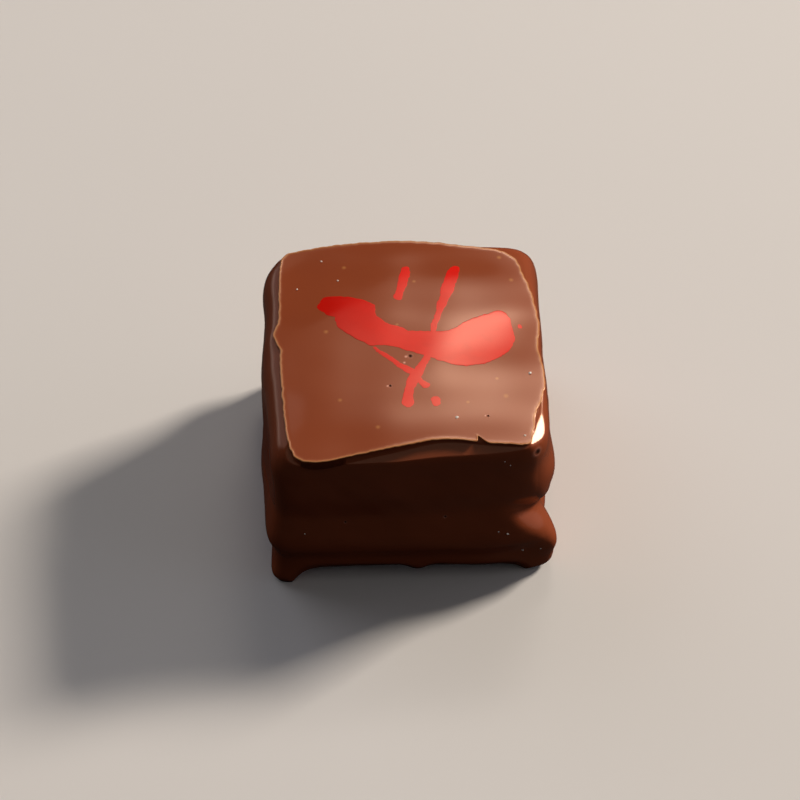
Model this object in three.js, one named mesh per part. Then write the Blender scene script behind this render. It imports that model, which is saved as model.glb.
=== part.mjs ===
// A chocolate bonbon: a square of ganache under one coat of chocolate. Its top was pressed flat under
// a sheet, which left a plate with a thin lip all round. The sides are the coat as it ran down: a round
// shoulder, a wall that swells and sinks, and a foot that set round the base and stands on its corners.
//
// It is one closed surface of rings, each with the same number of stations around it. A ring's point
// lies at some radius in its station's direction, and every shape here is a radius or a height.
// Millimetres, +Z up, the base on z = 0, and -Y is the front.
import * as THREE from "three";

// Driving dimensions
const PLATE_HEIGHT = 17.4; // the plate at the middle of its left and right edges
const CROWN = 0.7; // how much higher the middle of the plate is
const CROWN_FALL_DEEP = 0.4; // the share of the crown's fall that it also has to the front and back
const HALF = 12.35; // half the coat's width, halfway up
const LIP = 0.15; // thickness of the plate's lip
const UNDERCUT = 0.25; // depth of the groove below the lip
const GROOVE_BELOW = 0.08; // how far the groove lies below the lip
const SHOULDER = 3.0; // height of the round shoulder, from the groove to the wall
const SHOULDER_FULLNESS = 2.1; // 2 makes it a quarter round, and more makes it squarer
const FOOT = 0.66; // how far the foot stands out of the wall
const COLOUR = 0x5a2a1a;

// How finely the surface is cut
const SIDE_STATIONS = 30; // stations along one side of the square
const CORNER_CROWDING = 0.35; // 0 spaces the stations evenly, 1 draws them into the corners
const WALL_RINGS = 24;
const WALL_CROWDING = 1.25; // 1 spaces the wall's rings evenly, and more draws them into the foot
const SHOULDER_RINGS = 6;

const DEGREES = 180 / Math.PI;
const bell = (distance, reach) => Math.exp(-((distance / reach) ** 2));
const angleBetween = (a, b) => ((((a - b + 180) % 360) + 360) % 360) - 180;

// The plate's four sides: where each lies, how far its ends draw in, and where along it that starts
const PLATE_SIDES = {
  right: { half: 11.95, drawnIn: 1.4, middle: 0 },
  back: { half: 12.22, drawnIn: 1.38, middle: -1.8 },
  left: { half: 10.9, drawnIn: 0.35, middle: -1 },
  front: { half: 11.95, drawnIn: 0.35, middle: 0 },
};
// Where the chocolate crept out further under the sheet, or less far
const PLATE_SWELLS = [
  { side: "right", along: 2.6, reach: 1.5, out: 0.1 },
  { side: "right", along: -0.6, reach: 1.3, out: -0.22 },
  { side: "right", along: -5.0, reach: 2.2, out: 0.32 },
  { side: "right", along: 9.3, reach: 2.2, out: -0.26 },
  { side: "right", along: -9.4, reach: 1.8, out: -0.2 },
  { side: "back", along: 6.6, reach: 3.4, out: -0.24 },
  { side: "left", along: 2.1, reach: 1.3, out: 0.48 },
  { side: "front", along: -8.6, reach: 3.8, out: 1.02 },
  { side: "front", along: 3.2, reach: 4.8, out: -0.98 },
  { side: "front", along: 11.4, reach: 1.8, out: 0.22 },
];
// Where the lip chipped as the sheet came off; the groove below it doesn't follow these
const LIP_CHIPS = [
  { side: "front", along: 6.75, reach: 0.35, out: -0.6 },
  { side: "front", along: 5.9, reach: 0.5, out: 0.08 },
  { side: "front", along: 7.7, reach: 0.6, out: 0.1 },
  { side: "left", along: 0.15, reach: 0.5, out: -0.14 },
];
// The lip in section: how far inside the lip's outline, and how high over the plate's edge
const LIP_SECTION = [
  { inset: 0.22, up: 0 },
  { inset: 0.06, up: 0.02 },
  { inset: -0.03, up: -0.05 },
  { inset: 0.02, up: -LIP },
];
// How sharp each corner of the plate is, as a superellipse's exponent
const PLATE_CORNERS = [
  { at: -135, exponent: 13 },
  { at: -45, exponent: 26 },
  { at: 45, exponent: 18 },
  { at: 135, exponent: 26 },
];
const CORNER_REACH = 32; // degrees

// The coat's four sides, in the same terms, and its corners
const COAT_SIDES = {
  right: { half: HALF + 0.05, drawnIn: 0.25, middle: 1 },
  back: { half: HALF, drawnIn: 0.2, middle: 0 },
  left: { half: HALF + 0.05, drawnIn: 0.5, middle: -3 },
  front: { half: HALF - 0.1, drawnIn: 0.15, middle: 0 },
};
const COAT_CORNERS = [
  { at: -135, exponent: 15 },
  { at: -45, exponent: 7.4 },
  { at: 45, exponent: 12 },
  { at: 135, exponent: 12 },
];
// The front's shoulder is a low bevel, a share lower than the others
const BEVEL = { at: -80, wide: 43, lower: 0.58 };
// Flats that the shoulder was pressed to: a point of each, and how it falls off to +X and to +Y
const FLATS = [
  { at: [10.8, -10.5, 17.12], fallX: 0.54, fallY: -0.19 },
  { at: [4.0, -11.2, 17.18], fallX: -0.02, fallY: -0.5 },
];
// The shoulder is squarer at the front right corner, where the sheet held it up longest
const FULL_CORNER = { at: -40, wide: 10, fuller: 0.85 };
// The wall from the ground up, and how far it stands out: a skirt that rounds in under a rim, and the
// flare above the rim that runs up into a wall that is all but flat
const WALL_PROFILE = [
  { z: 0.0, out: 0.3 * FOOT },
  { z: 1.6, out: 0.5 * FOOT },
  { z: 2.6, out: 0.5 * FOOT },
  { z: 3.6, out: 0.5 * FOOT - 0.03 },
  { z: 4.4, out: 0.7 * FOOT },
  { z: 5.0, out: 0.92 * FOOT },
  { z: 5.7, out: 0.96 * FOOT },
  { z: 6.5, out: 0.78 * FOOT },
  { z: 7.3, out: 0.48 * FOOT + 0.01 },
  { z: 8.1, out: 0.2 * FOOT + 0.01 },
  { z: 9.2, out: 0.02 * FOOT - 0.08 },
  { z: 11.6, out: 0.04 },
  { z: 14.2, out: 0.0 },
];
// Bulges and dents of the wall, each round a bearing in degrees, +X being 0 and +Y 90, and a height
const WALL_SWELLS = [
  // front right corner: a full belly over the fold, and the bulb of the foot under it
  { at: -34, z: 10.1, wide: 9, tall: 2.3, out: 0.55 },
  { at: -40, z: 15.8, wide: 9, tall: 2.0, out: 0.18 },
  { at: -41, z: 4.2, wide: 7, tall: 1.7, out: 0.9 },
  { at: -41, z: 3.4, wide: 6.5, tall: 1.0, out: 0.4 },
  { at: -41, z: 1.6, wide: 6.5, tall: 1.4, out: 0.42 },
  { at: -43, z: 0.3, wide: 7, tall: 1.3, out: 0.5 },
  { at: -30, z: 4.0, wide: 8, tall: 2.6, out: -0.95 },
  { at: -14, z: 4.2, wide: 12, tall: 2.2, out: -0.4 },
  // left side: a foot that hardly stands out, under a wavy edge
  { at: 180, z: 3.2, wide: 46, tall: 3.0, out: -0.8 },
  { at: -146, z: 3.0, wide: 8, tall: 2.6, out: -0.25 },
  { at: -136, z: 0.0, wide: 6, tall: 1.5, out: 0.5 },
  { at: -160, z: 8.6, wide: 14, tall: 2.0, out: 0.18 },
  { at: -146, z: 12.2, wide: 7, tall: 1.6, out: -0.42 },
  { at: -170, z: 12.8, wide: 10, tall: 2.0, out: 0.18 },
  { at: 143, z: 15.5, wide: 9, tall: 2.4, out: 0.4 },
  { at: 140, z: 1.2, wide: 12, tall: 2.8, out: -0.4 },
  // back: a full right corner, and runs of chocolate between it and the left one
  { at: 45, z: 14.2, wide: 9, tall: 3.0, out: 0.4 },
  { at: 72, z: 6.0, wide: 7, tall: 3.2, out: 0.3 },
  { at: 104, z: 8.5, wide: 9, tall: 2.6, out: -0.3 },
  { at: 116, z: 3.6, wide: 8, tall: 1.6, out: 0.3 },
  { at: 12, z: 6.5, wide: 10, tall: 2.2, out: 0.28 },
];
// A fold round the front right corner, where the coat sagged onto the foot
const FOLD = { at: -41, z: 7.0, fall: 0.16, wide: 11, above: 1.2, below: 1.3, out: -0.8 };
// Slow waves round the coat: their count, how they turn with height, their phase and their height
const WALL_WAVES = [
  { count: 5, turn: 0.35, phase: 0, out: 0.06 },
  { count: 9, turn: -0.6, phase: 1.2, out: 0.05 },
];

// Between its corners the foot's edge arches off the ground, by this much on each side
const EDGE_LIFT = { right: 0.45, back: 0.7, left: 0.5, front: 1.8 };
const FRONT_TILT = 0.25; // the front arch is higher to the left by this share of it, and lower right
const ARCH_END = 0.88; // how far along a side its arch ends, 1 being the corner
const ARCH_EXPONENT = 10; // how straight the arch is before it comes down
const DRIP = { along: 0.6, reach: 0.95, down: 0.65 }; // a drip set on the front edge
const CURL = { reach: 0.55, out: -0.55 }; // the edge rounds in by this much, over this height

// The underside, from the foot's edge in: the share of the edge's outline, and of its height
const BASE_RINGS = [
  { scale: 0.94, height: 0.6 },
  { scale: 0.87, height: 0 },
  { scale: 0.45, height: 0 },
];

// The sheet wasn't quite flat: shallow swells and dimples of the plate
const PLATE_RELIEF = [
  { x: 9.36, y: 1.97, reach: 3.87, up: 0.15 },
  { x: 4.01, y: -0.41, reach: 4.32, up: 0.055 },
  { x: -8.28, y: 9.08, reach: 5.31, up: -0.145 },
  { x: -2.36, y: -1.07, reach: 4.99, up: -0.125 },
  { x: 8.65, y: 6.33, reach: 4.9, up: 0.12 },
];

// A station is a point on the edge of the square from -1 to 1, which gives a direction and a side.
function station(x, y) {
  const length = Math.hypot(x, y);
  const onFront = y < 0 && Math.abs(y) >= Math.abs(x);
  const onBack = y > 0 && Math.abs(y) >= Math.abs(x);
  const side = onFront ? "front" : onBack ? "back" : x > 0 ? "right" : "left";
  return {
    x,
    y,
    side,
    along: onFront || onBack ? x : y,
    dx: x / length,
    dy: y / length,
    bearing: Math.atan2(y, x) * DEGREES,
  };
}

// From 0 to 1 in equal steps, drawn together towards both ends.
const crowd = (t) => t - (CORNER_CROWDING * Math.sin(2 * Math.PI * t)) / (2 * Math.PI);
const TICKS = Array.from({ length: SIDE_STATIONS + 1 }, (_, i) => 2 * crowd(i / SIDE_STATIONS) - 1);

// Stations once round the square, anticlockwise from the front left corner
function stationsAround() {
  const up = TICKS.slice(0, -1);
  const down = [...TICKS].reverse().slice(0, -1);
  return [
    ...up.map((t) => station(t, -1)),
    ...up.map((t) => station(1, t)),
    ...down.map((t) => station(t, 1)),
    ...down.map((t) => station(-1, t)),
  ];
}

// How far a side lies from the middle, at a place along it: a parabola plus its swells.
function sideHalf(side, name, along, swells = []) {
  const bow = side.half - side.drawnIn * ((along - side.middle) / HALF) ** 2;
  return swells
    .filter((s) => s.side === name)
    .reduce((half, s) => half + s.out * bell(along - s.along, s.reach), bow);
}

// A superellipse whose half axes are the two sides that this direction lies between.
function outlineRadius(at, sides, exponent, swells) {
  const across = at.x > 0 ? "right" : "left";
  const deep = at.y > 0 ? "back" : "front";
  const a = sideHalf(sides[across], across, HALF * at.y, swells);
  const b = sideHalf(sides[deep], deep, HALF * at.x, swells);
  const sum = Math.abs(at.dx / a) ** exponent + Math.abs(at.dy / b) ** exponent;
  return sum ** (-1 / exponent);
}

// The corners' exponents, blended by how near each corner is.
function cornerExponent(bearing, corners) {
  const weights = corners.map(
    (c) => Math.exp(-((angleBetween(bearing, c.at) / CORNER_REACH) ** 4)) + 1e-6,
  );
  const total = weights.reduce((sum, w) => sum + w);
  return corners.reduce((sum, c, i) => sum + (c.exponent * weights[i]) / total, 0);
}

const plateOutline = (at, swells) =>
  outlineRadius(at, PLATE_SIDES, cornerExponent(at.bearing, PLATE_CORNERS), swells);
const grooveOutline = (at) => plateOutline(at, PLATE_SWELLS);
const lipOutline = (at) => plateOutline(at, [...PLATE_SWELLS, ...LIP_CHIPS]);

// A crown that falls off to the sides, and less to the front and back, plus the relief.
function plateHeight(x, y) {
  const crown = CROWN * (1 - (x / HALF) ** 2) * (1 - CROWN_FALL_DEEP * (y / HALF) ** 2);
  const relief = PLATE_RELIEF.reduce(
    (sum, r) => sum + r.up * bell(Math.hypot(x - r.x, y - r.y), r.reach),
    0,
  );
  return PLATE_HEIGHT + crown + relief;
}

// The wall's profile at a height: a smooth cubic from one named height to the next.
function profileOut(z) {
  const slope = (i) => {
    const before = WALL_PROFILE[Math.max(i - 1, 0)];
    const after = WALL_PROFILE[Math.min(i + 1, WALL_PROFILE.length - 1)];
    return (after.out - before.out) / (after.z - before.z);
  };
  const last = WALL_PROFILE.length - 2;
  const above = WALL_PROFILE.findIndex((level) => level.z > z);
  const i = above < 0 ? last : Math.max(above - 1, 0);
  const low = WALL_PROFILE[i];
  const high = WALL_PROFILE[i + 1];
  const step = high.z - low.z;
  const t = THREE.MathUtils.clamp((z - low.z) / step, 0, 1);
  return (
    low.out * (1 + 2 * t) * (1 - t) ** 2 +
    high.out * t * t * (3 - 2 * t) +
    step * slope(i) * t * (1 - t) ** 2 -
    step * slope(i + 1) * t * t * (1 - t)
  );
}

// A groove across the wall that drops as it goes round to the right side.
function foldOut(bearing, z) {
  const round = angleBetween(bearing, FOLD.at);
  const height = z - (FOLD.z - FOLD.fall * round);
  const reach = height > 0 ? FOLD.above : FOLD.below;
  return FOLD.out * bell(height, reach) * Math.exp(-((round / FOLD.wide) ** 4));
}

function wallRadius(at, z) {
  const coat = outlineRadius(at, COAT_SIDES, cornerExponent(at.bearing, COAT_CORNERS), []);
  const swells = WALL_SWELLS.reduce(
    (sum, s) => sum + s.out * bell(angleBetween(at.bearing, s.at), s.wide) * bell(z - s.z, s.tall),
    0,
  );
  const waves = WALL_WAVES.reduce(
    (sum, w) =>
      sum + w.out * Math.sin((w.count * at.bearing) / DEGREES + w.turn * z + w.phase),
    0,
  );
  // a corner stands further out along its own direction than a side does
  const out = profileOut(z) + swells + waves + foldOut(at.bearing, z);
  return coat + (out * coat) / Math.min(coat, HALF);
}

// How far the foot's edge is off the ground: an arch along each side, and nothing at the corners.
function edgeLift(at) {
  const onFront = at.side === "front";
  const height = EDGE_LIFT[at.side] * (onFront ? 1 - FRONT_TILT * at.along : 1);
  const arch = height * (1 - Math.abs(at.along / ARCH_END) ** ARCH_EXPONENT);
  const drip = onFront ? DRIP.down * bell(HALF * at.along - DRIP.along, DRIP.reach) : 0;
  return Math.max(arch - drip, 0);
}

const point = (at, radius, z) => [at.dx * radius, at.dy * radius, z];

// The lip's rings from the plate out, over its crest and under it, and then the groove.
function lipRings(around) {
  const rings = LIP_SECTION.map(({ inset, up }) =>
    around.map((at) => {
      const outline = lipOutline(at);
      const radius = outline - inset;
      const level = Math.min(radius, outline);
      return point(at, radius, plateHeight(at.dx * level, at.dy * level) + up);
    }),
  );
  return [...rings, around.map(groovePoint)];
}

function groovePoint(at) {
  const radius = grooveOutline(at) - UNDERCUT;
  return point(at, radius, plateHeight(at.dx * radius, at.dy * radius) - LIP - GROOVE_BELOW);
}

// The height where the shoulder ends and the wall begins: higher above the front's bevel.
function wallTop(at) {
  const bevel = BEVEL.lower * Math.exp(-((angleBetween(at.bearing, BEVEL.at) / BEVEL.wide) ** 4));
  return PLATE_HEIGHT - LIP - SHOULDER * (1 - bevel);
}

// A height that is brought down to the flats where they lie lower.
function pressed(x, y, z) {
  const levels = FLATS.map((f) => f.at[2] - f.fallX * (x - f.at[0]) - f.fallY * (y - f.at[1]));
  return Math.min(z, ...levels);
}

// A superellipse's quarter, from the groove out and down to the top of the wall, pressed flat at the
// front and at the front right corner.
function shoulderRings(around) {
  return Array.from({ length: SHOULDER_RINGS }, (_, i) => {
    const turn = ((i + 1) / (SHOULDER_RINGS + 1)) * (Math.PI / 2);
    return around.map((at) => {
      const fuller = FULL_CORNER.fuller * bell(angleBetween(at.bearing, FULL_CORNER.at), FULL_CORNER.wide);
      const power = 2 / (SHOULDER_FULLNESS + fuller);
      const groove = groovePoint(at);
      const start = Math.hypot(groove[0], groove[1]);
      const top = wallTop(at);
      const radius = start + (wallRadius(at, top) - start) * Math.sin(turn) ** power;
      const height = top + (groove[2] - top) * Math.cos(turn) ** power;
      return point(at, radius, pressed(at.dx * radius, at.dy * radius, height));
    });
  });
}

// The wall and the foot down to the edge, closer together in the foot, which rises with the edge.
function wallRings(around) {
  return Array.from({ length: WALL_RINGS }, (_, i) => {
    const rise = (1 - i / (WALL_RINGS - 1)) ** WALL_CROWDING;
    return around.map((at) => {
      const lift = edgeLift(at);
      const height = lift + (wallTop(at) - lift) * rise;
      return point(at, wallRadius(at, height) + CURL.out * bell(height - lift, CURL.reach), height);
    });
  });
}

// The underside: from the foot's edge in and down to the flat that the bonbon rests on.
function baseRings(edge) {
  return BASE_RINGS.map(({ scale, height }) =>
    edge.map(([x, y, z]) => [x * scale, y * scale, z * height]),
  );
}

// The plate inside its lip, as a square grid whose rim is the lip's inner ring.
function plateGrid(inner, stationOf) {
  return TICKS.map((v, row) =>
    TICKS.map((u, column) => {
      const rim = stationOf(column, row);
      if (rim !== undefined) return inner[rim];
      const shell = Math.max(Math.abs(u), Math.abs(v));
      if (shell < 1e-9) return [0, 0, plateHeight(0, 0)];
      const at = station(u / shell, v / shell);
      const radius = shell * (lipOutline(at) - LIP_SECTION[0].inset);
      const x = at.dx * radius;
      const y = at.dy * radius;
      return [x, y, plateHeight(x, y)];
    }),
  );
}

// Two triangles, cut along the shorter diagonal, so that creases stay clean.
function quad([a, b, c, d], points) {
  const apart = (i, j) => Math.hypot(...points[i].map((v, axis) => v - points[j][axis]));
  return apart(a, c) < apart(b, d) ? [a, b, c, a, c, d] : [a, b, d, b, c, d];
}

function bonbonGeometry() {
  const around = stationsAround();
  const count = around.length;
  const lip = lipRings(around);
  const wall = wallRings(around);
  const rings = [...lip, ...shoulderRings(around), ...wall, ...baseRings(wall[wall.length - 1])];

  const points = rings.flat();
  const faces = [];
  const ringIndex = (ring, i) => ring * count + (i % count);
  for (let ring = 0; ring < rings.length - 1; ring++) {
    for (let i = 0; i < count; i++) {
      const corners = [
        ringIndex(ring, i),
        ringIndex(ring + 1, i),
        ringIndex(ring + 1, i + 1),
        ringIndex(ring, i + 1),
      ];
      faces.push(...quad(corners, points));
    }
  }

  // close the base with a fan round its middle
  const middle = points.push([0, 0, 0]) - 1;
  for (let i = 0; i < count; i++)
    faces.push(ringIndex(rings.length - 1, i + 1), ringIndex(rings.length - 1, i), middle);

  // close the top with the plate's grid, whose outer points are the first ring's
  const side = SIDE_STATIONS;
  const stationOf = (column, row) => {
    if (row === 0) return column % count;
    if (column === side) return side + row;
    if (row === side) return 3 * side - column;
    if (column === 0) return 4 * side - row;
    return undefined;
  };
  const grid = plateGrid(lip[0], stationOf);
  const gridIndex = grid.map((row, j) =>
    row.map((place, i) => stationOf(i, j) ?? points.push(place) - 1),
  );
  for (let j = 0; j < side; j++) {
    for (let i = 0; i < side; i++) {
      const corners = [
        gridIndex[j][i],
        gridIndex[j][i + 1],
        gridIndex[j + 1][i + 1],
        gridIndex[j + 1][i],
      ];
      faces.push(...quad(corners, points));
    }
  }

  const geometry = new THREE.BufferGeometry()
    .setAttribute("position", new THREE.Float32BufferAttribute(points.flat(), 3))
    .setIndex(faces);
  geometry.computeBoundingBox();
  const centre = geometry.boundingBox.getCenter(new THREE.Vector3());
  geometry.translate(-centre.x, -centre.y, 0);
  geometry.computeVertexNormals();
  return geometry;
}

const chocolate = new THREE.MeshStandardMaterial({
  color: COLOUR,
  roughness: 0.35,
  metalness: 0,
});

const bonbon = new THREE.Mesh(bonbonGeometry(), chocolate);
bonbon.name = "bonbon";

const model = new THREE.Group();
model.add(bonbon);

export default model;
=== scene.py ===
import math
from functools import lru_cache
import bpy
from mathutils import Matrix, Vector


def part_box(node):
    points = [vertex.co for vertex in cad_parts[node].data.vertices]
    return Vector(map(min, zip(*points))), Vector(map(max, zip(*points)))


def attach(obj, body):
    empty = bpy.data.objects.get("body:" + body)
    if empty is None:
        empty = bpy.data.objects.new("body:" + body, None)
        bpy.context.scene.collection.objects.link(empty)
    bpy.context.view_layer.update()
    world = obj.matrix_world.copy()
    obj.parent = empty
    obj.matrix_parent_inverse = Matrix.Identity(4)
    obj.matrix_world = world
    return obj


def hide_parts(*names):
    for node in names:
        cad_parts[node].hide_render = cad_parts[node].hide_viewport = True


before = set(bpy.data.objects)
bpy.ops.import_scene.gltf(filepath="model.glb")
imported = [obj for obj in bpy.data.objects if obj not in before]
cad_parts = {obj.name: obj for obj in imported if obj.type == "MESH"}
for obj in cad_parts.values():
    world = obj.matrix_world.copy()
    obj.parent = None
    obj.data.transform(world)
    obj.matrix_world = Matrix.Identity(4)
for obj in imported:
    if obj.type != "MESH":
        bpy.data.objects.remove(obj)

from types import SimpleNamespace

import bmesh
import bpy
import numpy as np
from bpy.props import FloatProperty, FloatVectorProperty, PointerProperty
from mathutils import Vector

# The looks of a chocolate bonbon, laid out as an add-on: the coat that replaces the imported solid, the
# red print and the grains on it, and a small studio. Shapes are worked out in millimetres, in the
# solid's own frame: +Z up, the base on z = 0, -Y the front. Meshes are in metres.

bl_info = {
    "name": "Chocolate Bonbon",
    "version": (1, 0, 0),
    "blender": (4, 5, 0),
    "location": "3D View > Sidebar > Bonbon",
    "description": "Dresses an enrobed bonbon: its coat, its print, the grains on it and a studio",
    "category": "Mesh",
}

MM = 0.001
DEGREES = 180.0 / math.pi
TINY = 1e-9
CAD_LOW, CAD_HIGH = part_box("bonbon")
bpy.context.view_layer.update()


def linear(hex_colour):
    """An sRGB hex colour as linear RGBA, by the sRGB curve: a line near black and a 2.4 power above it."""
    shares = [int(hex_colour[i : i + 2], 16) / 255 for i in (1, 3, 5)]
    return tuple(c / 12.92 if c <= 0.04045 else ((c + 0.055) / 1.055) ** 2.4 for c in shares) + (1.0,)


# How finely the coat is cut
SIDE_STATIONS = 180  # stations along one side of the square
CORNER_CROWDING = 0.35  # 0 spaces the stations evenly, 1 draws them into the corners
SHOULDER_RINGS = 14
# The wall's rings lie closer together round the foot's rim: heights and how many rings down to each
WALL_LEVELS = ((6.4, 22), (3.2, 24), (0.0, 10))

# The plate's four sides: half is how far out a side lies, and it draws in from middle to its ends
PLATE_SIDES = {
    "right": {"half": 11.95, "drawn_in": 1.4, "middle": 0},
    "back": {"half": 12.22, "drawn_in": 1.38, "middle": -1.8},
    "left": {"half": 10.9, "drawn_in": 0.35, "middle": -1},
    "front": {"half": 11.95, "drawn_in": 0.35, "middle": 0},
}
# Where the chocolate crept out further under the sheet, or less far: side, place, reach, out
PLATE_SWELLS = (
    ("right", 2.6, 1.5, 0.1),
    ("right", -0.6, 1.3, -0.22),
    ("right", -5.0, 2.2, 0.32),
    ("right", 9.3, 2.2, -0.26),
    ("right", -9.4, 1.8, -0.2),
    ("back", 6.6, 3.4, -0.24),
    ("left", 2.1, 1.3, 0.48),
    ("front", -8.6, 3.8, 1.02),
    ("front", 3.2, 4.8, -0.98),
    ("front", 11.4, 1.8, 0.22),
)
# Where the lip chipped as the sheet came off, in the same terms
LIP_CHIPS = (
    ("front", 6.75, 0.28, -0.62),
    ("front", 5.9, 0.5, 0.08),
    ("front", 7.5, 0.6, 0.12),
    ("left", 0.15, 0.5, -0.14),
)
# How sharp each corner of the plate is: its bearing in degrees and a superellipse's exponent
PLATE_CORNERS = ((-135, 13), (-45, 26), (45, 18), (135, 26))
CORNER_REACH = 32  # degrees
FAINT = 1e-6  # the least weight of a corner, however far off it is
CROWN_FALL_DEEP = 0.4  # the share of the crown's fall that it also has to the front and back
# Shallow swells and dimples of the plate: x, y, reach, up
PLATE_RELIEF = (
    (9.36, 1.97, 3.87, 0.15),
    (4.01, -0.41, 4.32, 0.055),
    (-8.28, 9.08, 5.31, -0.145),
    (-2.36, -1.07, 4.99, -0.125),
    (8.65, 6.33, 4.9, 0.12),
)
# Smooth random unevenness, as layers of a height, a length and a seed: of the lip's edge, the plate and
# the wall, and of the print's edges to +X and to +Y
LIP_RAGGED = ((0.022, 1.1, 3), (0.012, 0.45, 4))
PLATE_UNEVEN = ((0.006, 5.0, 11),)
WALL_UNEVEN = ((0.03, 6.0, 21), (0.008, 2.2, 22))
PRINT_CREEP = (((0.03, 1.2, 31), (0.016, 0.45, 32)), ((0.03, 1.2, 41), (0.016, 0.45, 42)))
WAVES_EACH = 7  # cosine waves in a layer, and how their lengths spread about the layer's
WAVE_SPREAD = (0.7, 1.5)
# Air bubbles that burst: x, y and radius on the plate, then x, height and radius on the front wall
PLATE_PITS = ((0.46, -1.59, 0.24), (-1.45, -4.86, 0.17), (6.83, -8.54, 0.14))
WALL_PITS = ((-5.82, 8.5, 0.14), (3.0, 8.75, 0.16))
CORNER_PIT = (10.95, -11.45, 16.1, 0.45)  # x, y, height and radius
# The pits' pale rims are painted highlights and their dark hollows painted shade
RIM_SCALE = 1.7  # how much wider the pale rim is than the hollow, and how strongly both show
GLINT_RIM_SHOW = 0.45
PIT_SHADE_SHOW = 0.9
# the colour of the painted shade in each hollow
PIT_SHADE = "#1c0a05"
PIT_DEPTH = 0.12
# Pale spots of painted highlight beside the bubbles, and specks of cocoa butter: x, y, radius
GLINT_SPOTS = ((0.1, -1.62, 0.19), (-0.07, -2.29, 0.17), (-1.66, -4.86, 0.16), (6.6, -8.5, 0.12))
# the pale colour of the painted highlights on the pits' rims and the spots beside them
PIT_GLINT = "#e6a893"
SPECKS = (
    (-6.74, 1.77, 0.3), (-4.83, 9.28, 0.28), (-5.85, -6.15, 0.28), (-2.72, -9.37, 0.3), (8.54, -6.31, 0.34),
    (5.19, -6.96, 0.24), (9.9, 7.05, 0.3), (9.02, 9.82, 0.3), (-0.48, 2.12, 0.22), (1.28, 7.12, 0.24),
    (7.88, -4.36, 0.24),
)
SPECK = "#bd7c46"
SPECK_SHOW = 0.75
# How deep the orange peel is on the sides and on the plate
SIDE_PEEL = 0.003
PLATE_PEEL = 0.0002
DEEP_END = (-6.5, -1.0)  # the print is a deeper red at x of the first, and has its full colour at the second
# Pale grains that settled on it: x, y and radius on the plate, then x, height and radius on the front
PLATE_GRAINS = (
    (-6.78, 10.24, 0.1), (-5.43, 7.75, 0.1), (-9.09, 7.09, 0.09), (10.81, -3.71, 0.17), (4.14, -8.6, 0.15),
    (9.88, -10.69, 0.11),
)
WALL_GRAINS = (
    (-9.29, 7.36, 0.09), (7.48, 6.8, 0.09), (8.25, 6.5, 0.15), (9.96, 3.58, 0.13), (11.7, 3.5, 0.09),
    (8.22, 15.9, 0.08), (8.76, 15.3, 0.07),
)
GRAIN_SHAPE = np.array([0.85, 0.85, 0.5])  # it lies flat, so it is lower than it is wide
GRAIN_ROWS = 7
GRAIN_COLUMNS = 12
GRAIN_LUMPS = (0.2, 1.8)  # height and length of its lumps, as shares of its radius
GRAIN_SEED = 60
# The lip in section, from the plate out and under: how far inside the lip's outline, and how high
LIP_SECTION = (
    (0.60, 0.0), (0.35, 0.0), (0.22, 0.002), (0.14, 0.008), (0.08, 0.014), (0.03, 0.008),
    (-0.01, -0.014), (-0.03, -0.04), (-0.03, -0.08), (0.00, -0.11), (0.04, -0.135), (0.10, -0.16),
    (0.16, -0.19),
)
CREST_INSET = 0.05  # the lip's pale line of painted light runs here, this wide to each side
CREST_REACH = 0.11
GROOVE_BELOW = 0.08  # how far the groove lies below the lip
LIP_GLOSS = 0.3  # how far the lip's outer side takes the plate's gloss

# How sharp each corner of the coat is, in the same terms as the plate's
COAT_CORNERS = ((-135, 15), (-45, 7.4), (45, 12), (135, 12))
# The front's shoulder is a low bevel, a share lower than the others
BEVEL = {"at": -80, "wide": 43, "lower": 0.58}
# Flats that the shoulder was pressed to: a point of each, and how it falls off to +X and to +Y
FLATS = (
    {"at": (10.8, -10.5, 17.12), "fall_x": 0.54, "fall_y": -0.19},
    {"at": (4.0, -11.2, 17.18), "fall_x": -0.02, "fall_y": -0.5},
)
FLAT_BLEND = 0.03
# The shoulder is squarer at the front right corner, where the sheet held it up longest
FULL_CORNER = {"at": -40, "wide": 10, "fuller": 0.85}


def coat_sides(half):
    """The coat's sides from its half width: all but square, and each drawn in a little at its ends."""
    return {
        "right": {"half": half + 0.05, "drawn_in": 0.25, "middle": 1},
        "back": {"half": half, "drawn_in": 0.2, "middle": 0},
        "left": {"half": half + 0.05, "drawn_in": 0.5, "middle": -3},
        "front": {"half": half - 0.1, "drawn_in": 0.15, "middle": 0},
    }


# The wall from the ground up: a height, and how far it stands out as a share of the foot, plus a part
# that doesn't follow the foot
WALL_PROFILE = (
    (0.0, 0.3, 0.0),
    (1.6, 0.5, 0.0),
    (2.6, 0.5, 0.0),
    (3.6, 0.5, -0.03),
    (4.4, 0.7, 0.0),
    (5.0, 0.92, 0.0),
    (5.7, 0.96, 0.0),
    (6.5, 0.78, 0.0),
    (7.3, 0.48, 0.01),
    (8.1, 0.2, 0.01),
    (9.2, 0.02, -0.08),
    (11.6, 0.0, 0.04),
    (14.2, 0.0, 0.0),
)
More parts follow.
